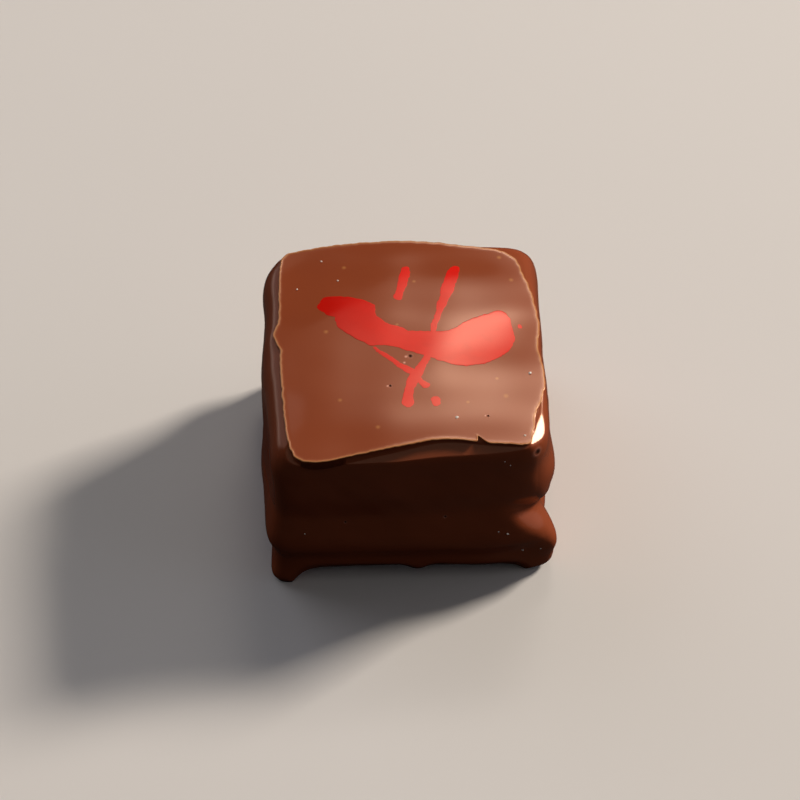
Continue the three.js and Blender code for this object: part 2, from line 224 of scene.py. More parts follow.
# Bulges and dents of the wall: bearing, height, width in degrees, tallness, out
WALL_SWELLS = (
    # front right corner: a full belly over the fold, and the bulb of the foot under it
    (-34, 10.1, 9, 2.3, 0.55),
    (-40, 15.8, 9, 2.0, 0.18),
    (-41, 4.2, 7, 1.7, 0.9),
    (-41, 3.4, 6.5, 1.0, 0.4),
    (-41, 5.2, 5, 0.9, -0.22),
    (-41, 2.4, 6, 1.0, 0.22),
    (-41, 1.6, 6.5, 1.4, 0.42),
    (-43, 0.3, 7, 1.3, 0.5),
    (-30, 4.0, 8, 2.6, -0.95),
    (-14, 4.2, 12, 2.2, -0.4),
    # left side: a foot that hardly stands out, under a wavy edge
    (180, 3.2, 46, 3.0, -0.8),
    (-146, 3.0, 8, 2.6, -0.25),
    (-136, 0.0, 6, 1.5, 0.5),
    (-160, 8.6, 14, 2.0, 0.18),
    (-146, 12.2, 7, 1.6, -0.42),
    (-170, 12.8, 10, 2.0, 0.18),
    (143, 15.5, 9, 2.4, 0.4),
    (140, 1.2, 12, 2.8, -0.4),
    # back and right: a full back right corner, and runs of chocolate to either side of it
    (45, 14.2, 9, 3.0, 0.4),
    (72, 6.0, 7, 3.2, 0.3),
    (104, 8.5, 9, 2.6, -0.3),
    (116, 3.6, 8, 1.6, 0.3),
    (12, 6.5, 10, 2.2, 0.28),
)
# A fold round the front right corner, where the coat sagged onto the foot
FOLD = {"at": -41, "z": 7.0, "fall": 0.16, "wide": 11, "above": 1.2, "below": 1.3, "out": -0.8}
# Slow waves round the coat: count, turn with height, phase, out
WALL_WAVES = ((5, 0.35, 0.0, 0.06), (9, -0.6, 1.2, 0.05))
# Between its corners the foot's edge arches off the ground
EDGE_LIFT = {"right": 0.45, "back": 0.7, "left": 0.5, "front": 1.8}
FRONT_TILT = 0.25  # the front arch is higher to the left by this share of it, and lower right
ARCH_END = 0.88  # how far along a side its arch ends, 1 being the corner
ARCH_EXPONENT = 10  # how straight the arch is before it comes down
DRIP = {"along": 0.6, "reach": 0.95, "down": 0.65}  # a drip that set on the front edge
CURL = {"reach": 0.55, "out": -0.55}  # the edge rounds in by this much, over this height
# The underside's rings, as shares of the edge's outline, and where it comes down to the flat
BASE_SCALES = (0.975, 0.94, 0.905, 0.87, 0.6, 0.25)
BASE_FLAT = 0.87
BASE_ROUND = 1.3  # 1 brings it down evenly, and more starts it more gently

# The print, as edges and lines on the plate, seen from above with the front towards the reader
SWOOSH_BACK = (
    (-7.42, 4.72), (-7.31, 5.06), (-6.57, 5.86), (-5.16, 5.79), (-4.11, 5.53), (-3.07, 5.14),
    (-2.39, 4.49), (-2.26, 3.53), (-1.6, 2.54), (-0.41, 1.89), (0.79, 1.36), (2.89, 1.11),
    (3.94, 1.13), (5.04, 1.82), (6.5, 2.63), (7.58, 2.98), (8.13, 3.29), (8.84, 3.23),
    (9.41, 2.54), (9.52, 1.61), (9.74, 0.45), (9.72, -0.05),
)
SWOOSH_FRONT = (
    (-7.42, 4.72), (-7.16, 4.33), (-6.65, 3.8), (-5.96, 3.49), (-5.84, 3.13), (-5.66, 2.29),
    (-5.16, 1.66), (-4.32, 0.88), (-3.47, 0.23), (-2.79, -0.12), (-1.39, -0.22), (0.32, -0.94),
    (2.19, -1.82), (3.04, -2.3), (4.07, -2.67), (5.1, -2.92), (7.22, -2.58), (8.13, -2.01),
    (8.96, -1.42), (9.49, -0.6), (9.72, -0.05),
)
# How finely the print is cut: steps along the swoosh and each stroke, points to a stretch of a spline
# before its steps are made even, and points once round the film's section
SWOOSH_STEPS = 420
STROKE_STEPS = 120
SPLINE_STEPS = 40
FILM_AROUND = 40
FILM_FLATTEN = 0.08  # the power that flattens the film's section, 1 being an ellipse
FILM_STACK = 0.05  # how much higher each part of the print lies, as a share of the film
MERGE_WITHIN = 0.0005  # points closer than this become one
# Strokes: points along each with the width there
STROKES = (
    ((0.66, 8.95, 0.75), (0.42, 7.6, 0.95), (0.1, 6.5, 0.72), (-0.3, 5.0, 0.85)),
    (
        (5.15, 8.85, 0.85), (4.6, 7.4, 1.15), (3.85, 5.0, 0.95), (3.05, 2.7, 0.5), (2.75, 1.75, 0.62),
        (2.6, 0.9, 0.5),
    ),
    ((2.2, -1.2, 0.5), (1.85, -2.0, 0.6), (1.35, -2.9, 0.75), (0.8, -3.9, 1.0)),
    ((-2.7, -0.3, 0.3), (-1.6, -1.4, 0.45), (-0.5, -2.5, 0.55), (0.9, -3.7, 0.75)),
    ((0.9, -3.4, 0.9), (0.5, -4.6, 1.0), (0.2, -5.4, 0.85), (-0.1, -7.3, 1.05)),
    ((0.8, -3.9, 0.75), (1.25, -4.5, 0.55), (1.85, -5.2, 0.85)),
    ((2.43, -6.28, 0.78), (2.43, -7.3, 0.8)),
    ((10.27, 1.7, 0.36), (10.27, 1.32, 0.4)),
)


def bell(distance, reach):
    """1 at no distance and down to nothing past the reach: exp(-(distance / reach)^2)."""
    return np.exp(-((distance / reach) ** 2))


def angle_between(a, b):
    """The turn from b to a in degrees, from -180 to 180."""
    return (a - b + 180.0) % 360.0 - 180.0


class Stations:
    """Points on the edge of the square from -1 to 1, each with its direction, side and place on it."""

    def __init__(self, x, y):
        length = np.hypot(x, y)
        on_ends = np.abs(y) >= np.abs(x)
        self.x = x
        self.y = y
        self.dx = x / length
        self.dy = y / length
        self.along = np.where(on_ends, x, y)
        self.bearing = np.arctan2(y, x) * DEGREES
        self.masks = {
            "front": on_ends & (y < 0),
            "back": on_ends & (y > 0),
            "right": ~on_ends & (x > 0),
            "left": ~on_ends & (x < 0),
        }

    def place(self, radius, height):
        """The points at a radius in each station's direction, at a height."""
        return np.stack([self.dx * radius, self.dy * radius, height + 0.0 * radius], -1)


def ticks():
    """From -1 to 1, drawn together towards both ends by taking a share of one sine wave away."""
    t = np.linspace(0.0, 1.0, SIDE_STATIONS + 1)
    return 2.0 * (t - CORNER_CROWDING * np.sin(2.0 * np.pi * t) / (2.0 * np.pi)) - 1.0


def stations_around():
    """Stations once round the square, anticlockwise from the front left corner."""
    up = ticks()[:-1]
    down = ticks()[:0:-1]
    ones = np.ones_like(up)
    return Stations(np.concatenate([up, ones, down, -ones]), np.concatenate([-ones, up, ones, down]))


def side_half(sides, name, along, swells):
    """How far a side lies from the middle at a place along it: a parabola plus its swells' bells."""
    side = sides[name]
    bow = side["half"] - side["drawn_in"] * ((along - side["middle"]) / sizes().half) ** 2
    return bow + sum(out * bell(along - at, reach) for where, at, reach, out in swells if where == name)


def outline_radius(at, sides, exponent, swells=()):
    """A superellipse whose half axes are the two sides that each direction lies between."""
    half = sizes().half
    a = np.where(at.x > 0, *(side_half(sides, name, half * at.y, swells) for name in ("right", "left")))
    b = np.where(at.y > 0, *(side_half(sides, name, half * at.x, swells) for name in ("back", "front")))
    return (np.abs(at.dx / a) ** exponent + np.abs(at.dy / b) ** exponent) ** (-1.0 / exponent)


def corner_exponent(bearing, corners):
    """The corners' exponents blended by how near each corner is, with a fourth power fall-off."""
    weights = [np.exp(-((angle_between(bearing, at) / CORNER_REACH) ** 4)) + FAINT for at, _ in corners]
    return sum(weight * exponent for weight, (_, exponent) in zip(weights, corners)) / sum(weights)


def waves(places, length, seed):
    """Smooth random unevenness of about unit height: the sum of a few cosine waves whose directions and
    phases are drawn from a seed, and whose lengths lie about the given one."""
    random = np.random.default_rng(seed)
    turns = random.normal(size=(WAVES_EACH, places.shape[-1]))
    turns /= np.linalg.norm(turns, axis=1, keepdims=True)
    turns *= 2.0 * np.pi / (length * random.uniform(*WAVE_SPREAD, (WAVES_EACH, 1)))
    phases = random.uniform(0.0, 2.0 * np.pi, WAVES_EACH)
    return np.cos(places @ turns.T + phases).sum(-1) * math.sqrt(2.0 / WAVES_EACH)


def uneven(places, layers):
    """The sum of the layers' waves, each times its height."""
    return sum(height * waves(places, length, seed) for height, length, seed in layers)


def lip_outline(at, chipped=True):
    """The plate's outline: its sides with their swells, then the chips, and a slight raggedness."""
    swells = PLATE_SWELLS + (LIP_CHIPS if chipped else ())
    smooth = outline_radius(at, PLATE_SIDES, corner_exponent(at.bearing, PLATE_CORNERS), swells)
    rim = np.stack([at.dx, at.dy], -1) * smooth[..., None]
    return smooth + (uneven(rim, LIP_RAGGED) if chipped else 0.0)


def plate_height(x, y):
    """A crown that falls off as a parabola to the sides, and less to the front and back, plus the
    relief's bells and slow waves."""
    half = sizes().half
    crown = sizes().crown * (1.0 - (x / half) ** 2) * (1.0 - CROWN_FALL_DEEP * (y / half) ** 2)
    relief = sum(up * bell(np.hypot(x - cx, y - cy), reach) for cx, cy, reach, up in PLATE_RELIEF)
    return sizes().plate + crown + relief + uneven(np.stack([x, y], -1), PLATE_UNEVEN)


def profile_out(z):
    """The wall's profile at a height: one smooth cubic from each named height to the next, whose slopes
    are those between its neighbours."""
    levels = np.array([level for level, _, _ in WALL_PROFILE])
    outs = np.array([share * sizes().foot + extra for _, share, extra in WALL_PROFILE])
    before = np.maximum(np.arange(len(levels)) - 1, 0)
    after = np.minimum(np.arange(len(levels)) + 1, len(levels) - 1)
    slopes = (outs[after] - outs[before]) / (levels[after] - levels[before])
    i = np.clip(np.searchsorted(levels, z, side="right") - 1, 0, len(levels) - 2)
    step = levels[i + 1] - levels[i]
    t = np.clip((z - levels[i]) / step, 0.0, 1.0)
    ends = outs[i] * (1 + 2 * t) * (1 - t) ** 2 + outs[i + 1] * t * t * (3 - 2 * t)
    return ends + step * (slopes[i] * t * (1 - t) ** 2 - slopes[i + 1] * t * t * (1 - t))


def fold_out(bearing, z):
    """A groove across the wall that drops as it goes round to the right side."""
    turn = angle_between(bearing, FOLD["at"])
    height = z - (FOLD["z"] - FOLD["fall"] * turn)
    reach = np.where(height > 0, FOLD["above"], FOLD["below"])
    return FOLD["out"] * bell(height, reach) * np.exp(-((turn / FOLD["wide"]) ** 4))


def wall_radius(at, z):
    """The coat's outline, plus all that stands out of it, which counts for more towards a corner."""
    coat = outline_radius(at, coat_sides(sizes().half), corner_exponent(at.bearing, COAT_CORNERS))
    out = profile_out(z) + fold_out(at.bearing, z)
    out = out + sum(
        by * bell(angle_between(at.bearing, bearing), wide) * bell(z - height, tall)
        for bearing, height, wide, tall, by in WALL_SWELLS
    )
    for count, turn, phase, by in WALL_WAVES:
        out = out + by * np.sin(count * at.bearing / DEGREES + turn * z + phase)
    places = np.stack([at.dx * coat, at.dy * coat, z + 0.0 * coat], -1)
    out = out + uneven(places, WALL_UNEVEN)
    return coat + out * coat / np.minimum(coat, sizes().half)


def edge_lift(at):
    """How far the foot's edge is off the ground: an arch along each side, and nothing at the corners."""
    height = sum(np.where(at.masks[side], lift, 0.0) for side, lift in EDGE_LIFT.items())
    height = height * np.where(at.masks["front"], 1.0 - FRONT_TILT * at.along, 1.0)
    arch = height * (1.0 - np.abs(at.along / ARCH_END) ** ARCH_EXPONENT)
    drip = DRIP["down"] * bell(sizes().half * at.along - DRIP["along"], DRIP["reach"])
    return np.maximum(arch - np.where(at.masks["front"], drip, 0.0), 0.0)


def lip_rings(at):
    """The lip's rings from the plate out, over its crest and under it, ending in the groove."""
    outline = lip_outline(at)
    rings = []
    for inset, up in LIP_SECTION:
        radius = outline - inset
        level = np.minimum(radius, outline)
        rings.append(at.place(radius, plate_height(at.dx * level, at.dy * level) + up))
    return rings + [groove_ring(at)]


def groove_ring(at):
    """The groove under the lip, which doesn't follow its chips."""
    radius = lip_outline(at, chipped=False) - sizes().undercut
    return at.place(radius, plate_height(at.dx * radius, at.dy * radius) - sizes().lip - GROOVE_BELOW)


def wall_top(at):
    """The height where the shoulder ends and the wall begins: higher above the front's bevel."""
    bevel = BEVEL["lower"] * np.exp(-((angle_between(at.bearing, BEVEL["at"]) / BEVEL["wide"]) ** 4))
    return sizes().plate - sizes().lip - sizes().shoulder * (1.0 - bevel)


def pressed(points):
    """The points lowered to the flats where they stand above them, with a soft minimum: the logarithm of
    the sum of exponentials of what lies below."""
    lowest = points[:, 2]
    for flat in FLATS:
        x, y, z = flat["at"]
        level = z - flat["fall_x"] * (points[:, 0] - x) - flat["fall_y"] * (points[:, 1] - y)
        lowest = -FLAT_BLEND * np.logaddexp(-lowest / FLAT_BLEND, -level / FLAT_BLEND)
    return np.column_stack([points[:, :2], lowest])


def shoulder_rings(at):
    """A superellipse's quarter, from the groove out and down to the top of the wall, pressed flat at the
    front and at the front right corner."""
    groove = groove_ring(at)
    top = wall_top(at)
    start = np.hypot(groove[:, 0], groove[:, 1])
    end = wall_radius(at, top)
    fuller = FULL_CORNER["fuller"] * bell(angle_between(at.bearing, FULL_CORNER["at"]), FULL_CORNER["wide"])
    power = 2.0 / (sizes().fullness + fuller)
    turns = (np.arange(SHOULDER_RINGS) + 1) / (SHOULDER_RINGS + 1) * np.pi / 2
    rings = []
    for turn in turns:
        radius = start + (end - start) * math.sin(turn) ** power
        height = top + (groove[:, 2] - top) * math.cos(turn) ** power
        rings.append(pressed(at.place(radius, height)))
    return rings


def wall_rings(at):
    """The wall and the foot down to the edge, which rises off the ground in the arches."""
    top = wall_top(at)
    lift = edge_lift(at)
    levels = [top]
    for level, count in WALL_LEVELS:
        start = levels[-1]
        levels += [start + (level - start) * (i + 1) / count for i in range(count)]
    rings = []
    for z in levels:
        height = lift + (top - lift) * z / top
        radius = wall_radius(at, height) + CURL["out"] * bell(height - lift, CURL["reach"])
        rings.append(at.place(radius, height))
    return rings


def base_rings(edge):
    """The underside: the edge drawn in as it comes down to the flat by a power, then the flat."""
    rings = []
    for scale in BASE_SCALES:
        drop = min((1.0 - scale) / (1.0 - BASE_FLAT), 1.0)
        rings.append(edge * np.array([scale, scale, 1.0 - drop**BASE_ROUND]))
    return rings


@lru_cache(maxsize=None)
def coat_rings():
    """All the coat's rings, from the plate's rim to the flat of the base."""
    at = stations_around()
    wall = wall_rings(at)
    return np.stack(lip_rings(at) + shoulder_rings(at) + wall + base_rings(wall[-1]))


@lru_cache(maxsize=None)
def middle_shift():
    """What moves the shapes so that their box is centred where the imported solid's box is."""
    rings = coat_rings()
    middle = (rings.min((0, 1)) + rings.max((0, 1))) / 2.0
    box_middle = np.array(CAD_LOW + CAD_HIGH) / 2.0 / MM
    return np.array([box_middle[0] - middle[0], box_middle[1] - middle[1], 0.0])


def plate_grid(points_before):
    """The plate inside its rim: a square grid whose shells are the rim's outline, shrunk. Gives the new
    points and the grid of point numbers, whose border is the rim's."""
    line = ticks()
    u, v = np.meshgrid(line, line)
    shell = np.maximum(np.maximum(np.abs(u), np.abs(v)), TINY)
    at = Stations(u / shell, v / shell)
    radius = shell * (lip_outline(at) - LIP_SECTION[0][0])
    x = at.dx * radius
    y = at.dy * radius
    # the middle station has no direction of its own
    x[np.abs(u) + np.abs(v) < TINY] = 0.0
    y[np.abs(u) + np.abs(v) < TINY] = 0.0
    inside = np.s_[1:-1, 1:-1]
    points = np.stack([x, y, plate_height(x, y)], -1)[inside].reshape(-1, 3)
    n = SIDE_STATIONS
    numbers = np.zeros((n + 1, n + 1), int)
    numbers[0, :] = np.arange(n + 1)
    numbers[:, n] = n + np.arange(n + 1)
    numbers[n, :] = 3 * n - np.arange(n + 1)
    numbers[1:, 0] = 4 * n - np.arange(1, n + 1)
    numbers[inside] = points_before + np.arange((n - 1) ** 2).reshape(n - 1, n - 1)
    return points, numbers


def grid_quads(numbers):
    """The quads between neighbouring rows of a grid of point numbers."""
    a, b = numbers[:-1, :-1], numbers[:-1, 1:]
    c, d = numbers[1:, 1:], numbers[1:, :-1]
    return np.stack([a, b, c, d], -1).reshape(-1, 4)


def tube_quads(rows, columns):
    """The quads of a grid of points whose last column meets its first again."""
    numbers = np.arange(rows * columns).reshape(rows, columns)
    return grid_quads(np.concatenate([numbers, numbers[:, :1]], 1))


def add_object(name, data):
    """A new object in the scene's own collection."""
    thing = bpy.data.objects.new(name, data)
    bpy.context.scene.collection.objects.link(thing)
    return thing


def mesh_object(name, points, quads, triangles=None, attributes=None):
    """A smooth mesh object from whole arrays: points in millimetres, faces that point outwards, and
    one value at each point for each attribute."""
    triangles = np.zeros((0, 3), int) if triangles is None else triangles
    corners = np.concatenate([quads.ravel(), triangles.ravel()]).astype(np.int32)
    counts = np.concatenate([np.full(len(quads), 4), np.full(len(triangles), 3)])
    mesh = bpy.data.meshes.new(name)
    mesh.vertices.add(len(points))
    mesh.vertices.foreach_set("co", ((points + middle_shift()) * MM).astype(np.float32).ravel())
    mesh.loops.add(len(corners))
    mesh.loops.foreach_set("vertex_index", corners)
    mesh.polygons.add(len(counts))
    mesh.polygons.foreach_set("loop_start", (np.cumsum(counts) - counts).astype(np.int32))
    mesh.update(calc_edges=True)
    if mesh.validate():
        raise ValueError(f"{name}: the faces don't make a clean mesh")
    mesh.shade_smooth()
    for key, values in (attributes or {}).items():
        layer = mesh.attributes.new(key, "FLOAT", "POINT")
        layer.data.foreach_set("value", values.astype(np.float32))
    return add_object(name, mesh)


def ride(piece):
    """The piece goes with the object's one body."""
    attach(piece, "root")


# Materials


RANGE = "ShaderNodeMapRange"
VECTOR = "ShaderNodeVectorMath"
# Indices of refraction
CHOCOLATE_IOR = 1.47
COCOA_BUTTER_IOR = 1.46
SUGAR_IOR = 1.5
# The size of each pattern's cells in millimetres: the chocolate's slow change of tone and its orange
# peel, the print's clouds, the grains' crystals and the unevenness of the card
MOTTLE = 5.0
PEEL = 0.8
PRINT_CLOUD = 1.6
CRYSTAL = 0.15
CARD_CLOUD = 90.0
PRINT_LEAST = 0.5  # how much of its full colour the thinnest print has
CRYSTAL_DEPTH = 0.01
SUGAR_ROUGHNESS = 0.45
SUGAR_TONES = ("#f2e6d8", "#fffaf4")
CARD_SHADES = (0.97, 1.03)
CARD_FINISH = {"Roughness": 0.9, "Specular IOR Level": 0.2}


def put(tree, kind, inputs=None, out=None, **settings):
    """Adds a node: its settings are attributes, and each input is set to a value or linked to a socket.
    Gives the output that out names, or else the node."""
    node = tree.nodes.new(kind)
    for key, value in settings.items():
        setattr(node, key, value)
    for key, value in (inputs or {}).items():
        if isinstance(value, bpy.types.NodeSocket):
            tree.links.new(value, node.inputs[key])
        else:
            node.inputs[key].default_value = value
    return node.outputs[out] if out else node


def maths(tree, operation, *values):
    """A sum or the like of numbers and sockets."""
    return put(tree, "ShaderNodeMath", dict(enumerate(values)), "Value", operation=operation)


def noise(tree, place, size, detail):
    """Noise on Object coordinates, which are in metres, with cells of a size in millimetres."""
    scale = 1.0 / (size * MM)
    return put(tree, "ShaderNodeTexNoise", {"Vector": place, "Scale": scale, "Detail": detail}, "Fac")


def spread(tree, share, low, high):
    """From low to high by a share."""
    return put(tree, RANGE, {"Value": share, "To Min": low, "To Max": high}, "Result")


def mark(tree, name):
    """The mesh's attribute of that name."""
    return put(tree, "ShaderNodeAttribute", out="Fac", attribute_name=name)


def new_material(name):
    """An empty node material, its tree and Object coordinates."""
    material = bpy.data.materials.new(name)
    material.use_nodes = True
    tree = material.node_tree
    tree.nodes.clear()
    return material, tree, put(tree, "ShaderNodeTexCoord", out="Object")


def spot_field(tree, place, spots, scale=1.0):
    """1 in the middle of each spot, and smoothly down to 0 at its radius in millimetres."""
    field = 0.0
    for x, y, z, radius in spots:
        centre = Vector(middle_shift()) + Vector((x, y, z))
        away = put(tree, VECTOR, {0: place, 1: centre * MM}, "Value", operation="DISTANCE")
        falling = {"Value": away, "From Max": radius * scale * MM, "To Min": 1.0, "To Max": 0.0}
        near = put(tree, RANGE, falling, "Result", interpolation_type="SMOOTHSTEP")
        field = maths(tree, "MAXIMUM", field, near)
    return field


def on_plate(spots):
    """Spots on the plate, from their x, y and radius, at its height there."""
    return [(x, y, float(plate_height(np.array(x), np.array(y))), radius) for x, y, radius in spots]


def on_front(spots):
    """Spots on the front wall, from their x, height and radius."""
    placed = []
    for x, z, radius in spots:
        at = Stations(np.array([x / sizes().half]), np.array([-1.0]))
        point = at.place(wall_radius(at, np.array([z])), z)[0]
        placed.append((float(point[0]), float(point[1]), z, radius))
    return placed


def over(tree, under, colour, field, share=1.0):
    """A colour laid over another, by a share of a field."""
    amount = maths(tree, "MULTIPLY", field, share)
    colours = {"Factor": amount, "A": under, "B": colour}
    return put(tree, "ShaderNodeMix", colours, "Result", data_type="RGBA")


def pocked_with_painted_light(tree, place, colour, peel):
    """Burst bubbles on a colour and a height in millimetres: a hollow in the height, darkened with
    painted shade, and a pale broken rim and pale spots beside it that are painted highlights.
    """
    pits = on_plate(PLATE_PITS) + on_front(WALL_PITS) + [CORNER_PIT]
    hollow = spot_field(tree, place, pits)
    wider = spot_field(tree, place, pits, RIM_SCALE)
    rim = maths(tree, "SUBTRACT", wider, hollow)
    # painted highlights: the pale rim round each pit and the pale spots beside them
    glint_rimmed = over(tree, colour, linear(PIT_GLINT), rim, GLINT_RIM_SHOW)
    pale = over(tree, glint_rimmed, linear(PIT_GLINT), spot_field(tree, place, on_plate(GLINT_SPOTS)))
    # painted shade: the hollows are darkened, as shade falls in them
    dark = over(tree, pale, linear(PIT_SHADE), hollow, PIT_SHADE_SHOW)
    return dark, maths(tree, "MULTIPLY_ADD", hollow, -PIT_DEPTH, peel)


def surface(tree, looks):
    """The one shader of a material, and the material's output."""
    shader = put(tree, "ShaderNodeBsdfPrincipled", looks, "BSDF")
    put(tree, "ShaderNodeOutputMaterial", {"Surface": shader})


def finish(tree, colour, height, roughness, ior, relief=1.0):
    """The gloss over a colour, with a height that counts for so many millimetres of relief."""
    lifts = {"Strength": 1.0, "Distance": relief * MM, "Height": height}
    gloss = {
        "Base Color": colour,
        "Roughness": roughness,
        "IOR": ior,
        "Specular Tint": tuple(bpy.context.scene.bonbon_looks.sheen),
        "Normal": put(tree, "ShaderNodeBump", lifts, "Normal"),
    }
    surface(tree, gloss)


def tempered_chocolate():
    """Milk chocolate, tempered and set: under the sheet it took a gloss like glass, and on the sides it
    set in the air, a little duller and with a faint orange peel. The tan line along the lip is painted
    light, for the light that the thin chocolate there lets through and the highlight on its edge.
    Specks of cocoa butter and burst bubbles show that it was poured; the bubbles' dark hollows are
    painted shade, and their pale rims and spots painted highlights."""
    looks = bpy.context.scene.bonbon_looks
    material, tree, place = new_material("tempered_chocolate")
    mottle = noise(tree, place, MOTTLE, 3.0)
    body = over(tree, tuple(looks.dark), tuple(looks.light), mottle)
    # painted light: the tan line along the lip's crest
    lip_glow_painted = over(tree, body, tuple(looks.lip), mark(tree, "lip"))
    specked = over(tree, lip_glow_painted, linear(SPECK), spot_field(tree, place, on_plate(SPECKS)), SPECK_SHOW)
    plate = mark(tree, "plate")
    peel = maths(tree, "MULTIPLY", noise(tree, place, PEEL, 2.0), spread(tree, plate, SIDE_PEEL, PLATE_PEEL))
    # the pits' painted shade and painted highlights
    colour, height = pocked_with_painted_light(tree, place, specked, peel)
    gloss = spread(tree, plate, looks.side_roughness, looks.plate_roughness)
    finish(tree, colour, height, gloss, CHOCOLATE_IOR)
    return material


def coloured_cocoa_butter():
    """Cocoa butter with a red fat-soluble colour, printed under the sheet: as glossy as the plate, a
    little uneven where the film is thin, and deeper red to the left."""
    looks = bpy.context.scene.bonbon_looks
    material, tree, place = new_material("coloured_cocoa_butter")
    cloud = noise(tree, place, PRINT_CLOUD, 4.0)
    across = put(tree, "ShaderNodeSeparateXYZ", {"Vector": place}, "X")
    deep, full = (x * MM for x in DEEP_END)
    along = put(tree, RANGE, {"Value": across, "From Min": deep, "From Max": full}, "Result")
    light = maths(tree, "MULTIPLY", maths(tree, "ADD", cloud, PRINT_LEAST), along)
    red = over(tree, tuple(looks.print_deep), tuple(looks.print), light)
    # the pits' painted shade and painted highlights, over the print too
    colour, height = pocked_with_painted_light(tree, place, red, 0.0)
    finish(tree, colour, height, looks.plate_roughness, COCOA_BUTTER_IOR)
    return material


def sugar_grain():
    """Grains of sugar and milk powder: off-white and rough."""
    material, tree, place = new_material("sugar_grain")
    cloud = noise(tree, place, CRYSTAL, 2.0)
    white = over(tree, *map(linear, SUGAR_TONES), cloud)
    finish(tree, white, cloud, SUGAR_ROUGHNESS, SUGAR_IOR, CRYSTAL_DEPTH)
    return material


def studio_card(name, hex_colour):
    """Matt card with a very slight unevenness."""
    material, tree, place = new_material(name)
    shade = spread(tree, noise(tree, place, CARD_CLOUD, 2.0), *CARD_SHADES)
    tone = put(tree, VECTOR, {0: linear(hex_colour)[:3], "Scale": shade}, "Vector", operation="SCALE")
    surface(tree, {"Base Color": tone, **CARD_FINISH})
    return material


# The add-on's settings


def as_length(name, description, millimetres):
    """A length property with its default in metres."""
    return FloatProperty(
        name=name, description=description, default=millimetres * MM, min=0.0, unit="LENGTH"
    )


def as_colour(name, description, hex_colour):
    """A colour property with its default from sRGB hex."""
    value = linear(hex_colour)
    return FloatVectorProperty(
        name=name, description=description, default=value, size=4, min=0.0, max=1.0, subtype="COLOR"
    )


def as_roughness(name, description, share):
    """A roughness property from 0, a mirror, to 1."""
    return FloatProperty(
        name=name, description=description, default=share, min=0.0, max=1.0, subtype="FACTOR"
    )


class BonbonSizes(bpy.types.PropertyGroup):
    """The coat's driving dimensions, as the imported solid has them."""

    plate: as_length("Plate height", "Height of the plate at the middle of its left and right edges", 17.4)
    crown: as_length("Crown", "How much higher the middle of the plate is", 0.7)
    half: as_length("Half width", "Half the coat's width, halfway up", 12.35)
    lip: as_length("Lip", "Thickness of the plate's lip", 0.15)
    undercut: as_length("Undercut", "Depth of the groove below the lip", 0.25)
    shoulder: as_length("Shoulder", "Height of the round shoulder, from the groove to the wall", 3.0)
    foot: as_length("Foot", "How far the foot stands out of the wall", 0.66)
    film: as_length("Film", "How far the print stands proud of the plate", 0.004)
    fullness: FloatProperty(
        name="Shoulder fullness", description="2 makes the shoulder a quarter round", default=2.1, min=1.0
    )


class BonbonLooks(bpy.types.PropertyGroup):
    """The colours and the gloss."""

    dark: as_colour("Chocolate, dark", "The darker of the chocolate's two tones", "#8c4429")
    light: as_colour("Chocolate, light", "The lighter of the chocolate's two tones", "#95492a")
    # the lip's tan is painted light: the light the thin lip lets through and the highlight on its edge
    lip: as_colour("Lip", "The thin lip, which lets light through", "#c48657")
    print: as_colour("Print", "The red cocoa butter", "#ea1a10")
    print_deep: as_colour("Print, deep", "The deeper red of the left end", "#c4140a")
    sheen: as_colour("Sheen", "The tint of what the chocolate mirrors", "#ffd2b4")
    plate_roughness: as_roughness("Plate roughness", "How much the plate blurs what it mirrors", 0.075)
    side_roughness: as_roughness("Side roughness", "How much the sides blur what they mirror", 0.22)


@lru_cache(maxsize=None)
def sizes():
    """The scene's driving dimensions, read once, with lengths in millimetres."""
    group = bpy.context.scene.bonbon_sizes
    lengths = {key: getattr(group, key) / MM for key in group.__annotations__ if key != "fullness"}
    return SimpleNamespace(fullness=group.fullness, **lengths)


class BONBON_OT_coat(bpy.types.Operator):
    """Makes the coat: the plate with its lip, the shoulder, the wall, the foot and the base"""

    bl_idname = "bonbon.coat"
    bl_label = "Coat"

    def execute(self, context):
        rings = coat_rings()
        sides = tube_quads(*rings.shape[:2])[:, ::-1]
        points = rings.reshape(-1, 3)
        plate_points, plate_numbers = plate_grid(len(points))
        middle = len(points) + len(plate_points)
        edge = np.arange(len(points))[-rings.shape[1] :]
        base = np.stack([np.roll(edge, -1), edge, np.full(len(edge), middle)], -1)
        points = np.concatenate([points, plate_points, [[0.0, 0.0, 0.0]]])
        quads = np.concatenate([sides, grid_quads(plate_numbers)])
        coat = mesh_object("coat", points, quads, base, self.marks(points, rings, middle))
        coat.data.materials.append(tempered_chocolate())
        ride(coat)
        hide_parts("bonbon")
        return {"FINISHED"}

    def marks(self, points, rings, middle):
        """Where the plate and the lip's crest are, from 0 to 1; the crest carries the lip's painted light.
        """
        plate = np.zeros(len(points))
        plate[middle - (SIDE_STATIONS - 1) ** 2 : middle] = 1.0
        crest = np.zeros(len(points))
        count = rings.shape[1]
        for ring, (inset, _) in enumerate(LIP_SECTION):
            plate[ring * count : (ring + 1) * count] = 1.0 if inset > CREST_INSET else LIP_GLOSS
            # the lip's crest gets the painted light of its tan line
            crest[ring * count : (ring + 1) * count] = bell(inset - CREST_INSET, CREST_REACH)
        return {"plate": plate, "lip": crest}


def run_along(line):
    """How far along the line each of its points is, as seen from above."""
    return np.concatenate([[0.0], np.cumsum(np.hypot(*np.diff(line[:, :2], axis=0).T))])


